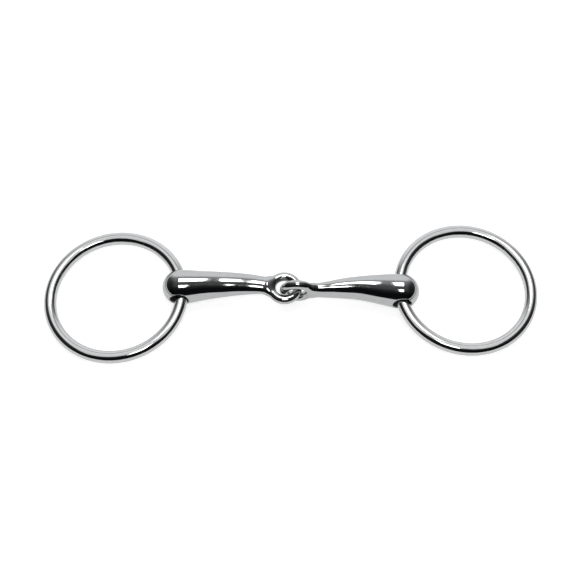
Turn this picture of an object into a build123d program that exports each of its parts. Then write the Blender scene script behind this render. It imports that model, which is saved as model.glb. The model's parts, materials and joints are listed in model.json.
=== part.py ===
from build123d import *
import os
from math import asin, cos, degrees, radians, sin, sqrt

# Loose-ring snaffle bit with a single joint, of solid stainless steel, lying flat.
#
# Two tapered, gently curved arms make the mouthpiece. Each ends outside in a ball-shaped butt that is
# bored through, and inside in an eye. The eyes stand square to each other and hook together, the left one
# lying flat and the right one standing up. A ring of round wire runs loose through each butt.
#
# Frame, in millimetres: +X runs along the mouthpiece from the left ring to the right one, +Z is up, and the
# arms bow towards +Y. The origin is on the floor, midway between the centres of the two rings.

# Rings
RING_OUTER_DIAMETER = 70.0
RING_WIRE_DIAMETER = 6.1
LEFT_RING_SLIP = -3.75  # how far the ring's centre lies off the middle of its butt, along Y
RIGHT_RING_SLIP = 2.51
RING_PLAY = 0.35  # least gap between the wire and the wall of the bore

# Arms
ARM_SPAN = 50.3  # from the middle of the bore to the middle of the eye
LEFT_ARM_BOW = 1.9  # rise of an arm's middle line, halfway, over the straight line between its ends
LEFT_NECK_BOW = 1.6  # the same at the neck
RIGHT_ARM_BOW = 1.5
RIGHT_NECK_BOW = 0.4
BUTT_DIAMETER = 16.8
BUTT_LAND = 2.5  # length of the nearly straight part between the dome of the butt and the taper
BUTT_LAND_DROP = 0.12  # how much the radius has fallen at the end of that part
SHOULDER_DROP = 0.95  # how much the radius has fallen from the butt's at the shoulder
SHOULDER_DISTANCE = 9.0  # from the middle of the bore
# Along the shank: the share of the way from the bore to the neck, and how much less than the butt's radius
# the arm's half width and half thickness are there. Widths are taken in the plane of the eye.
SHANK = [
    (0.36, 1.5, 1.7),
    (0.51, 2.0, 2.65),
    (0.64, 2.45, 3.25),
    (0.78, 2.95, 3.95),
    (0.89, 3.35, 4.55),
]
NECK_WIDTH = 9.3  # the neck lies just before the eye
NECK_THICKNESS = 6.7  # square to the plane of the eye
NECK_SETBACK = 2.9  # from the outer edge of the eye to the neck
THROAT_WIDTH = 9.0  # the throat is where the arm runs into the eye
THROAT_THICKNESS = 5.7
THROAT_DEPTH = 0.9  # how far inside the outer edge of the eye it lies
BORE_LIP = 0.8  # radius that eases each mouth of the bore

# Eyes
EYE_WIRE_DIAMETER = 4.4
EYE_PLAY = 3.6  # how much wider the hole of each eye is than the wire that passes through it
EYE_ROOT_SPREAD = 0.8  # how far the sides of the arm stay inside the middle line of the eye's wire
EYE_ROOT_INSET = 0.15  # how far the end of the arm stays below the surface of that wire
EYE_GAP = 0.4  # how far the upright eye's wire stays off the wall of the flat eye, at the middle of its hole
EYE_SINK = 0.3  # how far the middle of the flat eye has sunk below the middle of the upright one
LEFT_ARM_SWING = 0.45  # degrees by which the eye end of each arm swings towards -Y
RIGHT_ARM_SWING = -0.55

TOLERANCE = 0.01  # for telling whether a point lies on a surface

ring_wire_radius = RING_WIRE_DIAMETER / 2
ring_radius = RING_OUTER_DIAMETER / 2 - ring_wire_radius
butt_radius = BUTT_DIAMETER / 2
eye_wire_radius = EYE_WIRE_DIAMETER / 2
eye_radius = EYE_WIRE_DIAMETER + EYE_PLAY / 2
eye_outer_radius = eye_radius + eye_wire_radius
eye_slack = EYE_PLAY / 2 - EYE_GAP


def wire_sway(slip):
    """Half of how far a ring's curved wire wanders sideways within the straight part of a bore."""
    half_length = butt_radius - BORE_LIP
    return (ring_radius - sqrt(ring_radius**2 - (half_length + abs(slip)) ** 2)) / 2


bore_radius = ring_wire_radius + RING_PLAY + max(wire_sway(LEFT_RING_SLIP), wire_sway(RIGHT_RING_SLIP))


def butt(place):
    """The ball-shaped outer end of an arm: half a ball that bulges away from the arm."""
    dome = Sphere(butt_radius, arc_size1=0, align=(Align.CENTER, Align.CENTER, Align.MIN))
    return place * Rot(180, 0, 0) * dome


def is_mouth(edge):
    """Whether an edge runs round a mouth of the bore: all of it lies on the bore's wall, off the middle."""
    points = [edge @ (step / 4) for step in range(5)]
    on_wall = all(abs(sqrt(point.X**2 + point.Z**2) - bore_radius) < TOLERANCE for point in points)
    return on_wall and len({point.Y > 0 for point in points}) == 1


def arm(eye_plane, bow, neck_bow):
    """One arm along +X, with the middle of its bore at the origin and the middle of its eye at ARM_SPAN."""
    neck_distance = ARM_SPAN - eye_outer_radius - NECK_SETBACK
    spine = Spline((0, 0), (ARM_SPAN / 2, bow), (neck_distance, neck_bow), (ARM_SPAN, 0))

    def place(distance):
        """A plane square to the bowed arm, with its local x direction square to the eye."""
        middle_line = spine.position_at(distance, position_mode=PositionMode.LENGTH)
        ahead = spine.tangent_at(distance, position_mode=PositionMode.LENGTH)
        return Plane(middle_line, x_dir=eye_plane.z_dir, z_dir=ahead)

    shank = [
        place(share * neck_distance) * Ellipse(butt_radius - thinning, butt_radius - narrowing)
        for share, narrowing, thinning in SHANK
    ]
    eye_root = Plane((ARM_SPAN - eye_radius, 0, 0), x_dir=eye_plane.z_dir, z_dir=(1, 0, 0))
    throat = Ellipse(THROAT_THICKNESS / 2, THROAT_WIDTH / 2)
    sections = [
        place(0) * Circle(butt_radius),
        place(BUTT_LAND) * Circle(butt_radius - BUTT_LAND_DROP),
        place(SHOULDER_DISTANCE) * Circle(butt_radius - SHOULDER_DROP),
        *shank,
        place(neck_distance) * Ellipse(NECK_THICKNESS / 2, NECK_WIDTH / 2),
        place(ARM_SPAN - eye_outer_radius + THROAT_DEPTH) * throat,
        eye_root * Ellipse(eye_wire_radius - EYE_ROOT_INSET, eye_radius - EYE_ROOT_SPREAD),
    ]
    eye = Pos(ARM_SPAN, 0, 0) * eye_plane.location * Torus(eye_radius, eye_wire_radius)
    bar = loft(sections) + butt(place(0)) + eye
    bored = bar - Rot(90, 0, 0) * Cylinder(bore_radius, 2 * BUTT_DIAMETER)
    return fillet(bored.edges().filter_by(is_mouth), BORE_LIP)


def ring_centre(side, slip):
    """The centre of a ring, seen from the middle of its bore. Its outer edge rests on the floor."""
    reach = ring_radius - wire_sway(slip)
    tilt = ring_tilt(slip)
    return Vector(side * reach * cos(tilt), slip, -reach * sin(tilt))


def ring_tilt(slip):
    """How far a ring slopes down from its bore to the floor, in radians."""
    return asin((butt_radius - ring_wire_radius) / (2 * ring_radius - wire_sway(slip)))


def ring(side, slip):
    """A ring of round wire, threaded through a bore whose middle is at the origin."""
    slope = Rot(0, side * degrees(ring_tilt(slip)), 0)
    return Pos(*ring_centre(side, slip)) * slope * Torus(ring_radius, ring_wire_radius)


def bore_from_eye(eye, side, swing):
    """The middle of an arm's bore, for an arm whose eye is here and whose butt stands on the floor."""
    tip = asin((butt_radius - eye.Z) / ARM_SPAN)
    swung = radians(swing)
    reach = ARM_SPAN * cos(tip)
    return Vector(eye.X + side * reach * cos(swung), eye.Y + reach * sin(swung), butt_radius)


def arm_place(bore_middle, eye, side, swing):
    """Where an arm lies: turned to its side, tipped so that its eye is at the right height, and swung."""
    tip = degrees(asin((butt_radius - eye.Z) / ARM_SPAN))
    turn = 180 if side > 0 else 0
    return Pos(*bore_middle) * Rot(0, 0, side * swing) * Rot(0, -side * tip, 0) * Rot(0, 0, turn)


# The butts and the upright eye stand on the floor. The flat eye lies a little below the middle of the
# upright one, so the left arm tips down slightly. The upright eye has slid to the -Y side of the flat one.
right_eye = Vector(sqrt(eye_radius**2 - eye_slack**2), -eye_slack, eye_outer_radius)
left_eye = Vector(0, 0, right_eye.Z - EYE_SINK)
left_bore = bore_from_eye(left_eye, -1, LEFT_ARM_SWING)
right_bore = bore_from_eye(right_eye, 1, RIGHT_ARM_SWING)

left_ring_centre = left_bore + ring_centre(-1, LEFT_RING_SLIP)
right_ring_centre = right_bore + ring_centre(1, RIGHT_RING_SLIP)
middle = (left_ring_centre + right_ring_centre) / 2

left_place = arm_place(left_bore, left_eye, -1, LEFT_ARM_SWING)
right_place = arm_place(right_bore, right_eye, 1, RIGHT_ARM_SWING)
pieces = {
    "left_mouthpiece_arm": left_place * arm(Plane.XY, LEFT_ARM_BOW, LEFT_NECK_BOW),
    "right_mouthpiece_arm": right_place * arm(Plane.XZ, -RIGHT_ARM_BOW, -RIGHT_NECK_BOW),
    "left_ring": Pos(*left_bore) * ring(-1, LEFT_RING_SLIP),
    "right_ring": Pos(*right_bore) * ring(1, RIGHT_RING_SLIP),
}

os.makedirs("parts", exist_ok=True)
for name, piece in pieces.items():
    export_step(Pos(-middle.X, -middle.Y, 0) * piece, f"parts/{name}.step")
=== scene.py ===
import json
import math

import bpy
import numpy as np
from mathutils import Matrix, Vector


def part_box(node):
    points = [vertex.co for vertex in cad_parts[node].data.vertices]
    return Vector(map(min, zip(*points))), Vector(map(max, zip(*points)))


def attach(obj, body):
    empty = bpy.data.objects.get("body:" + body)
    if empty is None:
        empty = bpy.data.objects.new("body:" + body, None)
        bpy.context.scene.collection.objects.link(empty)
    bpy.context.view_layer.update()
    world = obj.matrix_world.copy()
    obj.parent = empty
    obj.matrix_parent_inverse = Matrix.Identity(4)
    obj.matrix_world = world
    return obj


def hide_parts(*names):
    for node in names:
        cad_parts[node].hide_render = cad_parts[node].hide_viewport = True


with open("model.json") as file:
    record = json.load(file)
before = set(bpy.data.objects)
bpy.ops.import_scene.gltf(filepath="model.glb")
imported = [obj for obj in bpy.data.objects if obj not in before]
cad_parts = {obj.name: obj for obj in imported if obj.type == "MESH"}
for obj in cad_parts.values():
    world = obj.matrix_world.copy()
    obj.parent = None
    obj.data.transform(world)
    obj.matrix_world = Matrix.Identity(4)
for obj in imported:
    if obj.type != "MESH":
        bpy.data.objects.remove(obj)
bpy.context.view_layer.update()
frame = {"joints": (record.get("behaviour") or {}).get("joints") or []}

# ---------------------------------------------------------------------------------------------------------
# The two arms of the mouthpiece. Each is one stainless steel forging: a ball-shaped butt, a taper that bows
# gently, and an eye. The butt is bored through and its edges eased, then the whole arm is buffed bright.
# Millimetres are used along the arm, from the middle of the bore to the middle of the eye.
# ---------------------------------------------------------------------------------------------------------
ARM_SPAN = 50.3
BUTT_RADIUS = 8.4
BORE_RADIUS = 4.442
BORE_LIP = 0.8
EYE_RADIUS = 6.2
EYE_WIRE = 2.2
NECK_AT = 39.0
END_ROUND = 1.0
NECK_FILLET = 3.2
SKIN_STEP = 0.3

# distance along the arm, half width in the plane of the eye, half thickness square to it
TAPER = [
    (0.0, 8.4, 8.4),
    (2.5, 8.28, 8.28),
    (9.0, 7.45, 7.45),
    (14.04, 6.9, 6.7),
    (19.89, 6.4, 5.75),
    (24.96, 5.95, 5.15),
    (30.42, 5.45, 4.45),
    (34.71, 5.05, 3.85),
    (39.0, 4.65, 3.35),
    (42.8, 4.5, 2.85),
]


def fair_curve(stations, values, level_start):
    """A curve through the values that bends without kinks, level at its start if asked."""
    gaps = np.diff(stations)
    rises = np.diff(values) / gaps
    count = len(stations)
    balance = np.eye(count)
    bend = np.zeros(count)
    if level_start:
        balance[0, :2] = 2 * gaps[0], gaps[0]
        bend[0] = 6 * rises[0]
    for i in range(1, count - 1):
        balance[i, i - 1 : i + 2] = gaps[i - 1], 2 * (gaps[i - 1] + gaps[i]), gaps[i]
        bend[i] = 6 * (rises[i] - rises[i - 1])
    curvature = np.linalg.solve(balance, bend)

    def value(at):
        at = np.clip(at, stations[0], stations[-1])
        i = np.clip(np.searchsorted(stations, at) - 1, 0, count - 2)
        left = at - stations[i]
        right = stations[i + 1] - at
        bent = (curvature[i] * right**3 + curvature[i + 1] * left**3) / (6 * gaps[i])
        start = (values[i] / gaps[i] - curvature[i] * gaps[i] / 6) * right
        finish = (values[i + 1] / gaps[i] - curvature[i + 1] * gaps[i] / 6) * left
        return bent + start + finish

    return value


taper_at, taper_width, taper_thickness = np.array(TAPER).T
half_width = fair_curve(taper_at, taper_width, True)
half_thickness = fair_curve(taper_at, taper_thickness, True)


def filleted(one, other, radius):
    """Two bodies joined, with a concave fillet where they meet."""
    reach = np.hypot(np.maximum(radius - one, 0), np.maximum(radius - other, 0))
    return np.maximum(radius, np.minimum(one, other)) - reach


def cut_with_lip(body, tool, radius):
    """A body with a tool's shape cut out of it, and the new edge rounded over."""
    reach = np.hypot(np.maximum(radius + body, 0), np.maximum(radius - tool, 0))
    return np.minimum(-radius, np.maximum(body, -tool)) + reach


def arm_depth(x, y, z, upright, middle_line):
    """How far a point is outside an arm, and below zero inside the metal."""
    nearby = np.clip(x, 0.5, ARM_SPAN - 0.5)
    lean = middle_line(nearby + 0.5) - middle_line(nearby - 0.5)
    rise = y - middle_line(nearby) - lean * (x - nearby)
    along = x + rise * lean / (1 + lean**2)
    sideways = rise / np.sqrt(1 + lean**2)
    flat_to_eye, off_eye = (z, sideways) if upright else (sideways, z)
    width = half_width(along)
    thickness = half_thickness(along)
    reach = np.hypot(flat_to_eye / width, off_eye / thickness)
    steepness = np.hypot(flat_to_eye / width**2, off_eye / thickness**2) + 1e-9
    shank = reach * (reach - 1) / steepness
    shank = np.where(along < 0, np.sqrt(x**2 + y**2 + z**2) - BUTT_RADIUS, shank)
    end = along - taper_at[-1]
    rounded = np.hypot(np.maximum(END_ROUND + shank, 0), np.maximum(END_ROUND + end, 0))
    shank = np.minimum(-END_ROUND, np.maximum(shank, end)) + rounded
    in_plane, square = (z, y) if upright else (y, z)
    eye = np.hypot(np.hypot(x - ARM_SPAN, in_plane) - EYE_RADIUS, square) - EYE_WIRE
    bore = np.hypot(x, z) - BORE_RADIUS
    return cut_with_lip(filleted(shank, eye, NECK_FILLET), bore, BORE_LIP)


def slope_of(depth, points, reach=0.004):
    """The direction straight out of the metal at each point, and how steeply depth grows that way."""
    slopes = np.empty_like(points)
    for axis in range(3):
        nudge = np.zeros(3)
        nudge[axis] = reach
        slopes[:, axis] = (depth(*(points + nudge).T) - depth(*(points - nudge).T)) / (2 * reach)
    return slopes


def skin(depth, low, high):
    """A closed skin of four-sided faces laid exactly on the surface where depth is zero."""
    axes = [np.arange(a - 1, b + 1, SKIN_STEP) for a, b in zip(low, high)]
    inside = depth(*np.meshgrid(*axes, indexing="ij")) < 0
    corners = sum(
        inside[i : i - 1 or None, j : j - 1 or None, k : k - 1 or None].astype(int)
        for i in (0, 1)
        for j in (0, 1)
        for k in (0, 1)
    )
    crossed = (corners > 0) & (corners < 8)
    number = np.full(crossed.shape, -1)
    number[crossed] = np.arange(crossed.sum())
    points = np.stack([a[i] for a, i in zip(axes, np.nonzero(crossed))], -1) + SKIN_STEP / 2
    faces = []
    for axis in range(3):
        solid = np.moveaxis(inside, axis, 0)
        cells = np.moveaxis(number, axis, 0)
        here, there = solid[:-1, 1:-1, 1:-1], solid[1:, 1:-1, 1:-1]
        around = [cells[:, :-1, :-1], cells[:, 1:, :-1], cells[:, 1:, 1:], cells[:, :-1, 1:]]
        forward = axis != 1
        for wanted, flip in ((here & ~there, not forward), (~here & there, forward)):
            ring = [cell[wanted] for cell in around]
            faces.append(np.stack(ring[::-1] if flip else ring, -1))
    faces = np.concatenate(faces)
    for smoothing in range(6):
        for settle in range(3):
            slope = slope_of(depth, points)
            steepness = (slope**2).sum(1, keepdims=True) + 1e-9
            points = points - np.clip(depth(*points.T)[:, None] * slope / steepness, -0.3, 0.3)
        if smoothing == 5:
            break
        total = np.zeros_like(points)
        share = np.zeros((len(points), 1))
        for a, b in ((0, 1), (1, 2), (2, 3), (3, 0)):
            for one, other in ((a, b), (b, a)):
                np.add.at(total, faces[:, one], points[faces[:, other]])
                np.add.at(share, faces[:, one], 1)
        points = points + 0.5 * (total / share - points)
    return points, faces, slope_of(depth, points)


def unit(vector):
    return vector / np.linalg.norm(vector)


def make_piece(name, points, faces, normals):
    """A smooth piece from points in metres, shaded with the exact direction of its surface."""
    mesh = bpy.data.meshes.new(name)
    mesh.from_pydata(points.tolist(), [], faces.tolist())
    mesh.validate()
    mesh.polygons.foreach_set("use_smooth", [True] * len(mesh.polygons))
    mesh.normals_split_custom_set_from_vertices(normals.tolist())
    piece = bpy.data.objects.new(name, mesh)
    bpy.context.scene.collection.objects.link(piece)
    return piece


def mark(piece, name, amounts):
    """Notes on each point of a piece how much it shows some finish, from 0 to 1."""
    layer = piece.data.attributes.new(name, "FLOAT", "POINT")
    layer.data.foreach_set("value", amounts.astype(np.float32))


joint_at = {joint["name"]: np.array(joint["pos_m"]) for joint in frame["joints"]}
left_bore = joint_at["left_ring_swing"]
right_bore = joint_at["right_ring_swing"]
left_eye = joint_at["centre_fold"]

# The right eye ends the right arm on its inner side, and lies this many metres further towards +Y than the
# bore, because that arm lies slightly askew.
RIGHT_EYE_REACH = 0.00048
right_arm_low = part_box("right_mouthpiece_arm")[0]
right_eye_x = right_arm_low[0] + (EYE_RADIUS + EYE_WIRE) / 1000
right_eye = np.array([right_eye_x, right_bore[1] + RIGHT_EYE_REACH, right_bore[2]])

# The drill's marks fade out just off the bore's wall, and the eyes are rubbed where they touch each other.
DRILLED_EDGE = 0.35
DRILLED_FADE = 0.3
RUBBED_EDGE = 0.6
RUBBED_FADE = 1.4

# The last two values are how far the middle line stands off the straight line from bore to eye, halfway
# along the arm and at its neck.
arms = []
for side, bore_at, eye_at, upright, bow, neck_bow in (
    ("left", left_bore, left_eye, False, 1.9, 1.6),
    ("right", right_bore, right_eye, True, 1.5, 0.4),
):
    along = unit(eye_at - bore_at)
    facing = np.sign(along[0])
    sideways = unit(np.array([-along[1], along[0], 0.0])) * facing
    up = np.cross(along, sideways) * facing
    bow_at = np.array([0.0, ARM_SPAN / 2, NECK_AT, ARM_SPAN])
    middle_line = fair_curve(bow_at, np.array([0.0, bow, neck_bow, 0.0]), False)

    def depth(x, y, z):
        return arm_depth(x, y, z, upright, middle_line)

    points, faces, normals = skin(depth, (-9, -9, -9), (60, 11, 9))
    if side == "right":
        faces = faces[:, ::-1]
    axes = np.stack([along, sideways, up])
    arm = make_piece(f"{side}_arm", bore_at + points / 1000 @ axes, faces, normals @ axes)
    from_bore = np.hypot(points[:, 0], points[:, 2])
    mark(arm, "drilled", np.clip((BORE_RADIUS + DRILLED_EDGE - from_bore) / DRILLED_FADE, 0, 1))
    from_eye = np.hypot(points[:, 0] - ARM_SPAN, points[:, 2] if upright else points[:, 1])
    mark(arm, "rubbed", np.clip((EYE_RADIUS - RUBBED_EDGE - from_eye) / RUBBED_FADE, 0, 1))
    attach(arm, f"{side}_arm")
    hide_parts(f"{side}_mouthpiece_arm")
    arms.append(arm)


def add(nodes, kind, **settings):
    """One shader node with its sockets and settings filled in."""
    node = nodes.new(kind)
    for key, value in settings.items():
        if key in node.inputs:
            node.inputs[key].default_value = value
        else:
            setattr(node, key, value)
    return node


def polished_steel(name, tint, grain, wave_height):
    """Buffed stainless steel: a mirror with faint waves, hairline buffing marks and patchy bloom."""
    steel = bpy.data.materials.new(name)
    steel.use_nodes = True
    nodes, wire = steel.node_tree.nodes, steel.node_tree.links.new
    shader = nodes["Principled BSDF"]
    shader.inputs["Metallic"].default_value = 1.0
    place = add(nodes, "ShaderNodeTexCoord")
    lines = add(nodes, "ShaderNodeMapping")
    lines.inputs["Scale"].default_value = grain
    wire(place.outputs["Object"], lines.inputs["Vector"])
    hairs = add(nodes, "ShaderNodeTexNoise", Scale=1.0, Detail=5.0, Roughness=0.65)
    wire(lines.outputs["Vector"], hairs.inputs["Vector"])
    waves = add(nodes, "ShaderNodeTexNoise", Scale=95.0, Detail=1.5, Roughness=0.4)
    wire(place.outputs["Object"], waves.inputs["Vector"])
    bloom = add(nodes, "ShaderNodeTexNoise", Scale=330.0, Detail=4.0, Roughness=0.6)
    wire(place.outputs["Object"], bloom.inputs["Vector"])

    colour = add(nodes, "ShaderNodeValToRGB")
    colour.color_ramp.elements[0].position = 0.3
    colour.color_ramp.elements[0].color = (*[c * 0.93 for c in tint], 1)
    colour.color_ramp.elements[1].position = 0.7
    colour.color_ramp.elements[1].color = (*tint, 1)
    wire(bloom.outputs["Fac"], colour.inputs["Fac"])
    wire(colour.outputs["Color"], shader.inputs["Base Color"])

    gloss = add(nodes, "ShaderNodeMapRange")
    gloss.inputs["From Min"].default_value = 0.3
    gloss.inputs["From Max"].default_value = 0.75
    gloss.inputs["To Min"].default_value = 0.045
    gloss.inputs["To Max"].default_value = 0.115
    wire(bloom.outputs["Fac"], gloss.inputs["Value"])
    rougher = gloss.outputs["Result"]
    for finish, amount in (("drilled", 0.3), ("rubbed", 0.07), ("ground", 0.12)):
        worn = add(nodes, "ShaderNodeAttribute", attribute_name=finish)
        more = add(nodes, "ShaderNodeMath", operation="MULTIPLY_ADD")
        more.inputs[1].default_value = amount
        wire(worn.outputs["Fac"], more.inputs[0])
        wire(rougher, more.inputs[2])
        rougher = more.outputs[0]
    wire(rougher, shader.inputs["Roughness"])

    swell = add(nodes, "ShaderNodeBump", Strength=0.5, Distance=wave_height)
    wire(waves.outputs["Fac"], swell.inputs["Height"])
    brushed = add(nodes, "ShaderNodeBump", Strength=0.25, Distance=0.0000012)
    wire(hairs.outputs["Fac"], brushed.inputs["Height"])
    wire(swell.outputs["Normal"], brushed.inputs["Normal"])
    wire(brushed.outputs["Normal"], shader.inputs["Normal"])
    return steel


mouthpiece_steel = polished_steel("mouthpiece_steel", (0.39, 0.393, 0.395), (900, 6500, 6500), 0.00003)
for arm in arms:
    arm.data.materials.append(mouthpiece_steel)

# ---------------------------------------------------------------------------------------------------------
# The two loose rings. Each is round stainless bar bent to a circle through its butt, butt-welded, and the
# weld ground flush and buffed, which leaves the wire a hair thinner and duller there.
# ---------------------------------------------------------------------------------------------------------
RING_WIRE = 0.00305
WELD_WIDTH = 0.0022
WELD_HOLLOW = 0.00004
RING_STEPS = 384
WIRE_STEPS = 64

rings = []
for side, weld_turn, slope_sign in (("left", 2.2, -1), ("right", 0.8, 1)):
    low, high = (np.array(corner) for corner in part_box(f"{side}_ring"))
    centre = (low + high) / 2
    radius = (high[1] - low[1]) / 2 - RING_WIRE
    slope = slope_sign * math.asin(((high[2] - low[2]) / 2 - RING_WIRE) / radius)
    turn = np.repeat(np.arange(RING_STEPS) * 2 * np.pi / RING_STEPS, WIRE_STEPS)
    roll = np.tile(np.arange(WIRE_STEPS) * 2 * np.pi / WIRE_STEPS, RING_STEPS)
    from_weld = (np.mod(turn - weld_turn + np.pi, 2 * np.pi) - np.pi) * radius
    ground = np.exp(-((from_weld / WELD_WIDTH) ** 2))
    wire_radius = RING_WIRE - WELD_HOLLOW * ground
    outward = np.stack([np.cos(turn), np.sin(turn), 0 * turn], -1)
    normals = outward * np.cos(roll)[:, None] + np.array([0, 0, 1.0]) * np.sin(roll)[:, None]
    flat = outward * radius + normals * wire_radius[:, None]
    level, rising = math.cos(slope), math.sin(slope)
    lean = np.array([[level, 0, -rising], [0, 1, 0], [rising, 0, level]])
    ids = np.arange(RING_STEPS * WIRE_STEPS).reshape(RING_STEPS, WIRE_STEPS)
    onward, round_wire = np.roll(ids, -1, 0), np.roll(ids, -1, 1)
    faces = np.stack([ids, onward, np.roll(onward, -1, 1), round_wire], -1).reshape(-1, 4)
    ring = make_piece(f"{side}_loose_ring", centre + flat @ lean, faces, normals @ lean)
    mark(ring, "ground", ground)
    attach(ring, f"{side}_ring")
    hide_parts(f"{side}_ring")
    rings.append(ring)

ring_steel = polished_steel("ring_steel", (0.47, 0.473, 0.475), (4200, 4200, 4200), 0.00003)
for ring in rings:
    ring.data.materials.append(ring_steel)

# ---------------------------------------------------------------------------------------------------------
# The studio: a white tabletop that glows a little, a pale wall that only the camera sees, a broad soft light
# that the steel does not mirror, two softboxes overhead for the long reflections in the arms and rings, and a
# wider one that lights only the rings.
# ---------------------------------------------------------------------------------------------------------
bpy.ops.mesh.primitive_plane_add(size=8.0)
table = bpy.context.object
table.name = "tabletop"
paper = bpy.data.materials.new("white_paper")
paper.use_nodes = True
paper_shader = paper.node_tree.nodes["Principled BSDF"]
paper_shader.inputs["Base Color"].default_value = (0.5, 0.5, 0.5, 1)
paper_shader.inputs["Emission Color"].default_value = (1, 1, 1, 1)
paper_shader.inputs["Emission Strength"].default_value = 0.76
paper_shader.inputs["Roughness"].default_value = 0.9
paper_shader.inputs["Specular IOR Level"].default_value = 0.1
table.data.materials.append(paper)

bpy.ops.mesh.primitive_cylinder_add(radius=3.5, depth=6.0, vertices=96, end_fill_type="NOTHING")
wall = bpy.context.object
wall.name = "pale_wall"
for ray in ("visible_glossy", "visible_diffuse", "visible_shadow", "visible_transmission"):
    setattr(wall, ray, False)
glow = bpy.data.materials.new("pale_wall")
glow.use_nodes = True
glow_shader = glow.node_tree.nodes["Principled BSDF"]
glow_shader.inputs["Base Color"].default_value = (0, 0, 0, 1)
glow_shader.inputs["Emission Color"].default_value = (0.95, 0.95, 0.95, 1)
glow_shader.inputs["Emission Strength"].default_value = 1.0
wall.data.materials.append(glow)


def softbox(name, at, size, power, mirrored):
    """A rectangular lamp that shines straight down. mirrored says whether the steel reflects it."""
    lamp = bpy.data.lights.new(name, "AREA")
    lamp.shape = "RECTANGLE"
    lamp.size, lamp.size_y = size
    lamp.energy = power
    holder = bpy.data.objects.new(name, lamp)
    holder.location = at
    holder.visible_glossy = mirrored
    holder.visible_camera = False
    bpy.context.scene.collection.objects.link(holder)
    return holder


softbox("table_light", (0, 0, 1.6), (2.6, 2.6), 11, False)
softbox("rear_softbox", (0.06, 0.44, 1.2), (0.42, 0.54), 5.7, True)
softbox("front_softbox", (0.06, -0.50, 1.2), (0.38, 0.34), 3.1, True)
ring_softbox = softbox("ring_softbox", (0, 0.18, 1.2), (1.9, 1.35), 8.5, True)
only_rings = bpy.data.collections.new("only_rings")
for ring in rings:
    only_rings.objects.link(ring)
ring_softbox.light_linking.receiver_collection = only_rings

room = bpy.data.worlds.new("room")
room.use_nodes = True
bpy.context.scene.world = room
nodes, link = room.node_tree.nodes, room.node_tree.links.new
toward = add(nodes, "ShaderNodeTexCoord")
split = add(nodes, "ShaderNodeSeparateXYZ")
link(toward.outputs["Generated"], split.inputs["Vector"])
depthwise = add(nodes, "ShaderNodeMapRange")
depthwise.inputs["From Min"].default_value = -1.0
link(split.outputs["Y"], depthwise.inputs["Value"])
brightness = add(nodes, "ShaderNodeValToRGB")
ramp = brightness.color_ramp
ramp.interpolation = "EASE"
ramp.elements[0].position = 0.12
ramp.elements[0].color = (0.008, 0.009, 0.010, 1)
ramp.elements[1].position = 0.93
ramp.elements[1].color = (1.38, 1.4, 1.42, 1)
for position, grey in ((0.24, 0.03), (0.38, 0.12), (0.55, 0.17), (0.74, 0.38), (0.83, 0.6), (0.88, 1.2)):
    ramp.elements.new(position).color = (grey * 0.985, grey, grey * 1.015, 1)
link(depthwise.outputs["Result"], brightness.inputs["Fac"])
aside = add(nodes, "ShaderNodeMath", operation="ABSOLUTE")
link(split.outputs["X"], aside.inputs[0])
dim = add(nodes, "ShaderNodeMapRange", interpolation_type="SMOOTHSTEP")
dim.inputs["From Min"].default_value = 0.35
dim.inputs["From Max"].default_value = 0.85
dim.inputs["To Min"].default_value = 1.0
dim.inputs["To Max"].default_value = 0.2
link(aside.outputs[0], dim.inputs["Value"])
background = nodes["Background"]
link(brightness.outputs["Color"], background.inputs["Color"])
link(dim.outputs["Result"], background.inputs["Strength"])

# ---------------------------------------------------------------------------------------------------------
# The camera looks down at the bit from in front and well above, with a long lens.
# ---------------------------------------------------------------------------------------------------------
CAMERA_RISE = math.radians(62.65)
CAMERA_DISTANCE = 0.7326
aim = np.array([-0.00142, 0.00567, 0.0])
lens = bpy.data.cameras.new("camera")
lens.sensor_width = 36.0
lens.lens = 94.1
lens.clip_start = 0.01
camera = bpy.data.objects.new("camera", lens)
camera.location = aim + CAMERA_DISTANCE * np.array([0, -math.cos(CAMERA_RISE), math.sin(CAMERA_RISE)])
camera.rotation_euler = (math.pi / 2 - CAMERA_RISE, 0, 0)
bpy.context.scene.collection.objects.link(camera)
bpy.context.scene.camera = camera
bpy.context.scene.view_settings.view_transform = "Standard"
